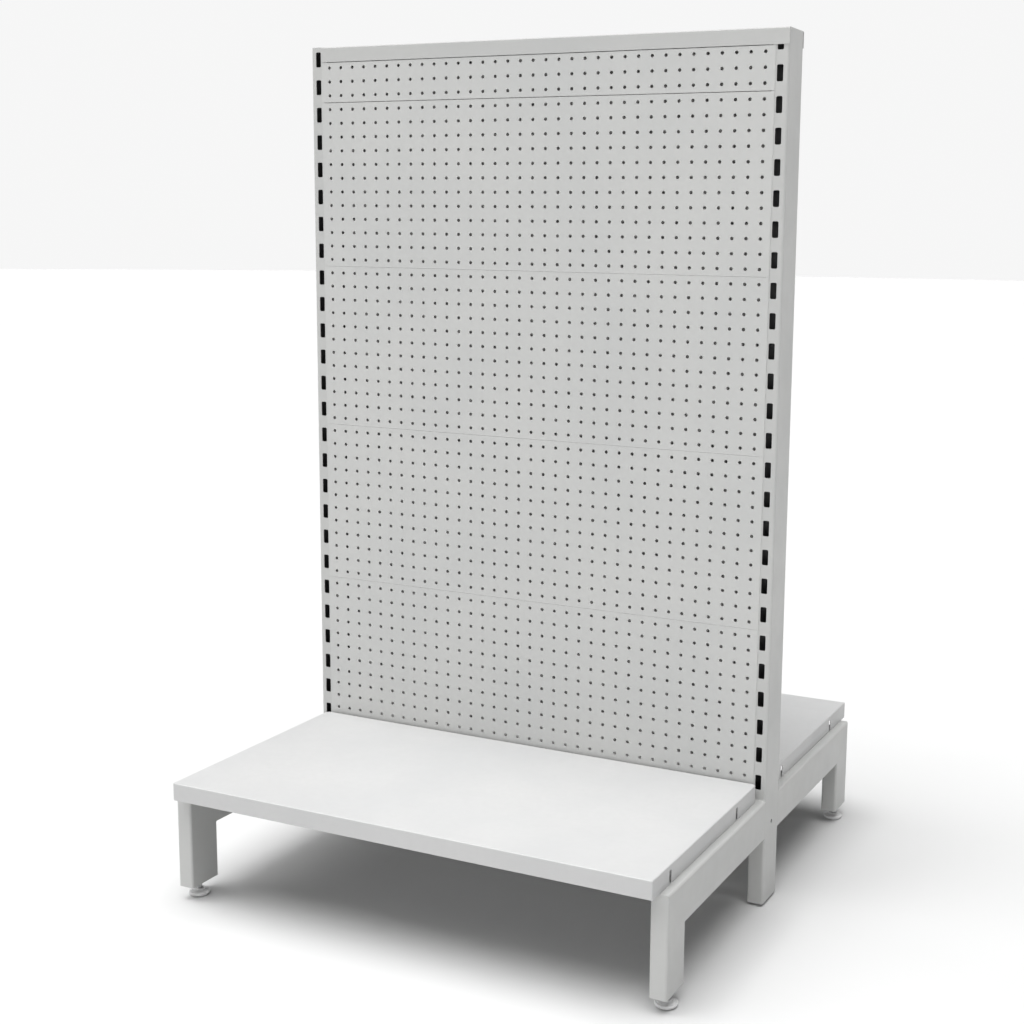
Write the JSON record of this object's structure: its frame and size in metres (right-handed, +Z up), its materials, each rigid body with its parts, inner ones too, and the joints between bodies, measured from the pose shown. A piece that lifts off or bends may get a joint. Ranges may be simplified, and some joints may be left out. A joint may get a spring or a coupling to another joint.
{
  "type": "perforated panel tool wall",
  "caption": "Free-standing double-sided tool wall: slotted uprights, perforated front and plain rear metal panels, low tray shelves on outrigger legs with levelling feet.",
  "frame": {"origin": "on the floor, under the middle of the bay, at the mid-plane between the front and rear panels", "axes": "+X along the bay to the right as seen from the front, +Y from the front to the rear, +Z up"},
  "size_m": [0.937, 0.992, 1.5],
  "materials": {
    "frame_paint": "satin light grey powder coat with a fine orange peel",
    "panel_paint": "satin light grey powder coat on sheet steel",
    "shelf_paint": "satin light grey powder coat on folded sheet steel",
    "zinc_steel": "bright zinc plate",
    "foot_pad_plastic": "smooth moulded pale grey plastic",
    "plug_plastic": "moulded light grey plastic"
  },
  "bodies": {
    "root": {"right_upright": "frame_paint", "left_upright": "frame_paint", "top_rail": "frame_paint", "middle_cross_rail": "frame_paint", "bottom_cross_rail": "frame_paint", "front_right_base_rail": "frame_paint", "front_right_leg": "frame_paint", "front_left_base_rail": "frame_paint", "front_left_leg": "frame_paint", "rear_left_base_rail": "frame_paint", "rear_left_leg": "frame_paint", "rear_right_base_rail": "frame_paint", "rear_right_leg": "frame_paint", "top_rail_end_plates": "frame_paint", "middle_rail_end_plates": "frame_paint", "bottom_rail_end_plates": "frame_paint", "shelf_locating_lugs": "frame_paint", "front_panel_1": "panel_paint", "front_panel_2": "panel_paint", "front_panel_3": "panel_paint", "front_panel_4": "panel_paint", "front_panel_5": "panel_paint", "rear_panel_1": "panel_paint", "rear_panel_2": "panel_paint", "rear_panel_3": "panel_paint", "rear_panel_4": "panel_paint", "rear_panel_5": "panel_paint", "front_right_leg_insert": "zinc_steel", "front_left_leg_insert": "zinc_steel", "rear_left_leg_insert": "zinc_steel", "rear_right_leg_insert": "zinc_steel", "right_post_plug": "plug_plastic", "left_post_plug": "plug_plastic", "left_top_cap": "plug_plastic", "cross_rail_bolts": "zinc_steel", "weld_nuts": "zinc_steel"},
    "front_shelf": {"front_base_shelf": "shelf_paint", "front_shelf_stiffener": "shelf_paint"},
    "rear_shelf": {"rear_base_shelf": "shelf_paint", "rear_shelf_stiffener": "shelf_paint"},
    "front_right_pad": {"front_right_foot_pad": "foot_pad_plastic"},
    "front_right_stud": {"front_right_foot_stud": "zinc_steel"},
    "front_left_pad": {"front_left_foot_pad": "foot_pad_plastic"},
    "front_left_stud": {"front_left_foot_stud": "zinc_steel"},
    "rear_left_pad": {"rear_left_foot_pad": "foot_pad_plastic"},
    "rear_left_stud": {"rear_left_foot_stud": "zinc_steel"},
    "rear_right_pad": {"rear_right_foot_pad": "foot_pad_plastic"},
    "rear_right_stud": {"rear_right_foot_stud": "zinc_steel"}
  },
  "joints": [
    {"name": "front_shelf_lift", "type": "slide", "parent": "root", "child": "front_shelf", "axis": [0, 0, 1], "range_m": [0, 0.06]},
    {"name": "rear_shelf_lift", "type": "slide", "parent": "root", "child": "rear_shelf", "axis": [0, 0, 1], "range_m": [0, 0.06]},
    {"name": "front_right_foot_height", "type": "slide", "parent": "root", "child": "front_right_pad", "axis": [0, 0, 1], "range_m": [-0.012, 0.012]},
    {"name": "front_right_foot_turn", "type": "hinge", "parent": "front_right_pad", "child": "front_right_stud", "pos_m": [0.45, -0.435, 0.03], "axis": [0, 0, 1], "range_deg": [-2881, 2881]},
    {"name": "front_left_foot_height", "type": "slide", "parent": "root", "child": "front_left_pad", "axis": [0, 0, 1], "range_m": [-0.012, 0.012]},
    {"name": "front_left_foot_turn", "type": "hinge", "parent": "front_left_pad", "child": "front_left_stud", "pos_m": [-0.45, -0.435, 0.03], "axis": [0, 0, 1], "range_deg": [-2881, 2881]},
    {"name": "rear_left_foot_height", "type": "slide", "parent": "root", "child": "rear_left_pad", "axis": [0, 0, 1], "range_m": [-0.012, 0.012]},
    {"name": "rear_left_foot_turn", "type": "hinge", "parent": "rear_left_pad", "child": "rear_left_stud", "pos_m": [-0.45, 0.435, 0.03], "axis": [0, 0, 1], "range_deg": [-2881, 2881]},
    {"name": "rear_right_foot_height", "type": "slide", "parent": "root", "child": "rear_right_pad", "axis": [0, 0, 1], "range_m": [-0.012, 0.012]},
    {"name": "rear_right_foot_turn", "type": "hinge", "parent": "rear_right_pad", "child": "rear_right_stud", "pos_m": [0.45, 0.435, 0.03], "axis": [0, 0, 1], "range_deg": [-2881, 2881]}
  ],
  "couplings": [
    {"joint": "front_right_foot_turn", "follows": "front_right_foot_height", "rad_per_m": 4188.8},
    {"joint": "front_left_foot_turn", "follows": "front_left_foot_height", "rad_per_m": 4188.8},
    {"joint": "rear_left_foot_turn", "follows": "rear_left_foot_height", "rad_per_m": 4188.8},
    {"joint": "rear_right_foot_turn", "follows": "rear_right_foot_height", "rad_per_m": 4188.8}
  ]
}
